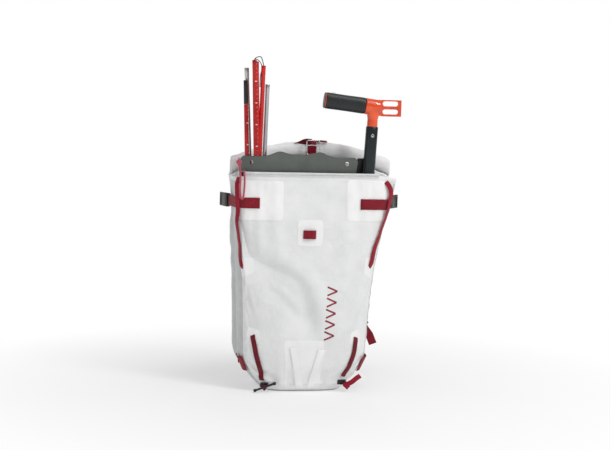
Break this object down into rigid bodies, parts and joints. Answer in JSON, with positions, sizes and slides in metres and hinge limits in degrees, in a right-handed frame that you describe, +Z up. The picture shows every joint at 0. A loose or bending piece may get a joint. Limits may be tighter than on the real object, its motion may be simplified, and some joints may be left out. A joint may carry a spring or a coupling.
{
  "type": "ski touring backpack",
  "caption": "Upright roll-top ski touring pack with a front tool pocket holding a shovel and a folded probe, webbing lash points, shoulder straps and a hip belt.",
  "frame": {"origin": "middle of the flat base, on the surface the pack stands on", "axes": "+Z up; the front with the tool pocket faces -Y; the wearer's back is at +Y; +X is on the right as seen from the front"},
  "size_m": [0.4377, 0.3734, 0.7859],
  "materials": {
    "white_fabric": "matt white laminated ripstop cloth",
    "grey_fabric": "grey coated cloth and spacer mesh",
    "black_mesh": "black open mesh",
    "red_webbing": "dark red ribbed polyester webbing",
    "black_plastic": "moulded black acetal",
    "orange_plastic": "glossy orange moulding",
    "black_rubber": "ribbed black grip rubber",
    "grey_alloy": "grey hard-anodised sheet",
    "dark_alloy": "dark anodised tube",
    "silver_alloy": "plain silver anodised tube",
    "red_alloy": "red anodised tube with a printed scale",
    "black_alloy": "black anodised",
    "steel": "bright steel wire",
    "stiff_sheet": "dark stiff plastic sheet",
    "coil_zip": "grey coil zip",
    "red_cord": "flecked red cord"
  },
  "bodies": {
    "pack": {"axe_slider_left": "black_plastic", "axe_slider_right": "black_plastic", "axe_strap_left": "red_webbing", "axe_strap_right": "red_webbing", "back_pad": "grey_fabric", "base_panel": "grey_fabric", "centre_loop": "red_webbing", "compression_anchor_left": "red_webbing", "compression_anchor_right": "red_webbing", "compression_socket_left": "black_plastic", "compression_socket_right": "black_plastic", "compression_strap_left": "red_webbing", "compression_strap_right": "red_webbing", "frame_sheet": "stiff_sheet", "front_pocket": "white_fabric", "hip_fin_left": "white_fabric", "hip_fin_right": "white_fabric", "hip_socket": "black_plastic", "hip_strap_left": "red_webbing", "hip_strap_right": "red_webbing", "hook_loop": "red_webbing", "ladder_lock_left": "black_plastic", "ladder_lock_right": "black_plastic", "lash_tape_left": "red_webbing", "lash_tape_right": "red_webbing", "main_bag": "white_fabric", "shoulder_strap_left": "white_fabric", "shoulder_strap_right": "white_fabric", "shoulder_webbing_left": "red_webbing", "shoulder_webbing_right": "red_webbing", "ski_loop_left": "red_webbing", "ski_loop_right": "red_webbing", "sternum_socket": "black_plastic", "sternum_strap_left": "red_webbing", "sternum_strap_right": "red_webbing", "tool_divider": "black_mesh", "zip_coil": "coil_zip"},
    "closure": {"roll_top": "white_fabric", "roll_stiffener": "stiff_sheet", "roll_strap": "red_webbing"},
    "wire_buckle": {"wire_buckle": "steel"},
    "zip_slider": {"zip_slider": "black_plastic"},
    "zip_pull": {"zip_pull": "red_cord"},
    "blade": {"shovel_blade": "grey_alloy"},
    "handle": {"shovel_shaft": "dark_alloy", "handle_tee": "orange_plastic", "grip_sleeve": "black_rubber"},
    "lock_button": {"lock_button": "steel"},
    "probe": {"probe_tip_tube": "silver_alloy", "probe_grip_tube": "black_alloy", "probe_scale_tube": "red_alloy", "probe_second_tube": "red_alloy", "probe_end_tube": "silver_alloy", "probe_cable": "black_alloy"},
    "compression_prong_left": {"compression_prong_left": "black_plastic"},
    "compression_prong_right": {"compression_prong_right": "black_plastic"},
    "sternum_prong": {"sternum_prong": "black_plastic"},
    "hip_prong": {"hip_prong": "black_plastic"},
    "axe_toggle": {"axe_toggle_left": "black_alloy"},
    "haul_loop": {"haul_loop": "red_webbing"}
  },
  "joints": [
    {"name": "roll_lift", "type": "slide", "parent": "pack", "child": "closure", "axis": [0, 0, 1], "range_m": [0, 0.12]},
    {"name": "wire_buckle_fold", "type": "hinge", "parent": "pack", "child": "wire_buckle", "pos_m": [0.0195, -0.0155, 0.558], "axis": [1, 0, 0], "range_deg": [0, 140]},
    {"name": "zip_run", "type": "slide", "parent": "pack", "child": "zip_slider", "axis": [1, 0, 0], "range_m": [0, 0.3]},
    {"name": "zip_pull_swing", "type": "hinge", "parent": "zip_slider", "child": "zip_pull", "pos_m": [-0.1612, -0.1174, 0.5235], "axis": [1, 0, 0], "range_deg": [-110, 0]},
    {"name": "blade_draw", "type": "slide", "parent": "pack", "child": "blade", "axis": [0, 0, 1], "range_m": [0, 0.3]},
    {"name": "handle_draw", "type": "slide", "parent": "pack", "child": "handle", "axis": [0.0454, 0, 0.999], "range_m": [0, 0.3]},
    {"name": "button_press", "type": "slide", "parent": "handle", "child": "lock_button", "axis": [0, 1, 0], "range_m": [0, 0.0025], "stiffness_N_per_m": 900},
    {"name": "probe_draw", "type": "slide", "parent": "pack", "child": "probe", "axis": [0, 0, 1], "range_m": [0, 0.3]},
    {"name": "compression_release_left", "type": "slide", "parent": "pack", "child": "compression_prong_left", "axis": [-0.2756, 0.9613, 0], "range_m": [0, 0.02]},
    {"name": "compression_release_right", "type": "slide", "parent": "pack", "child": "compression_prong_right", "axis": [0.6157, 0.788, 0], "range_m": [0, 0.02]},
    {"name": "sternum_release", "type": "slide", "parent": "pack", "child": "sternum_prong", "axis": [1, 0, 0], "range_m": [0, 0.0144]},
    {"name": "hip_release", "type": "slide", "parent": "pack", "child": "hip_prong", "axis": [1, 0, 0], "range_m": [0, 0.02]},
    {"name": "axe_toggle_turn", "type": "hinge", "parent": "pack", "child": "axe_toggle", "pos_m": [-0.0945, -0.0878, 0.0132], "axis": [0, 1, 0], "range_deg": [0, 36]},
    {"name": "haul_loop_fold", "type": "hinge", "parent": "pack", "child": "haul_loop", "pos_m": [0, 0.0779, 0.474], "axis": [1, 0, 0], "range_deg": [-45, 0]}
  ]
}
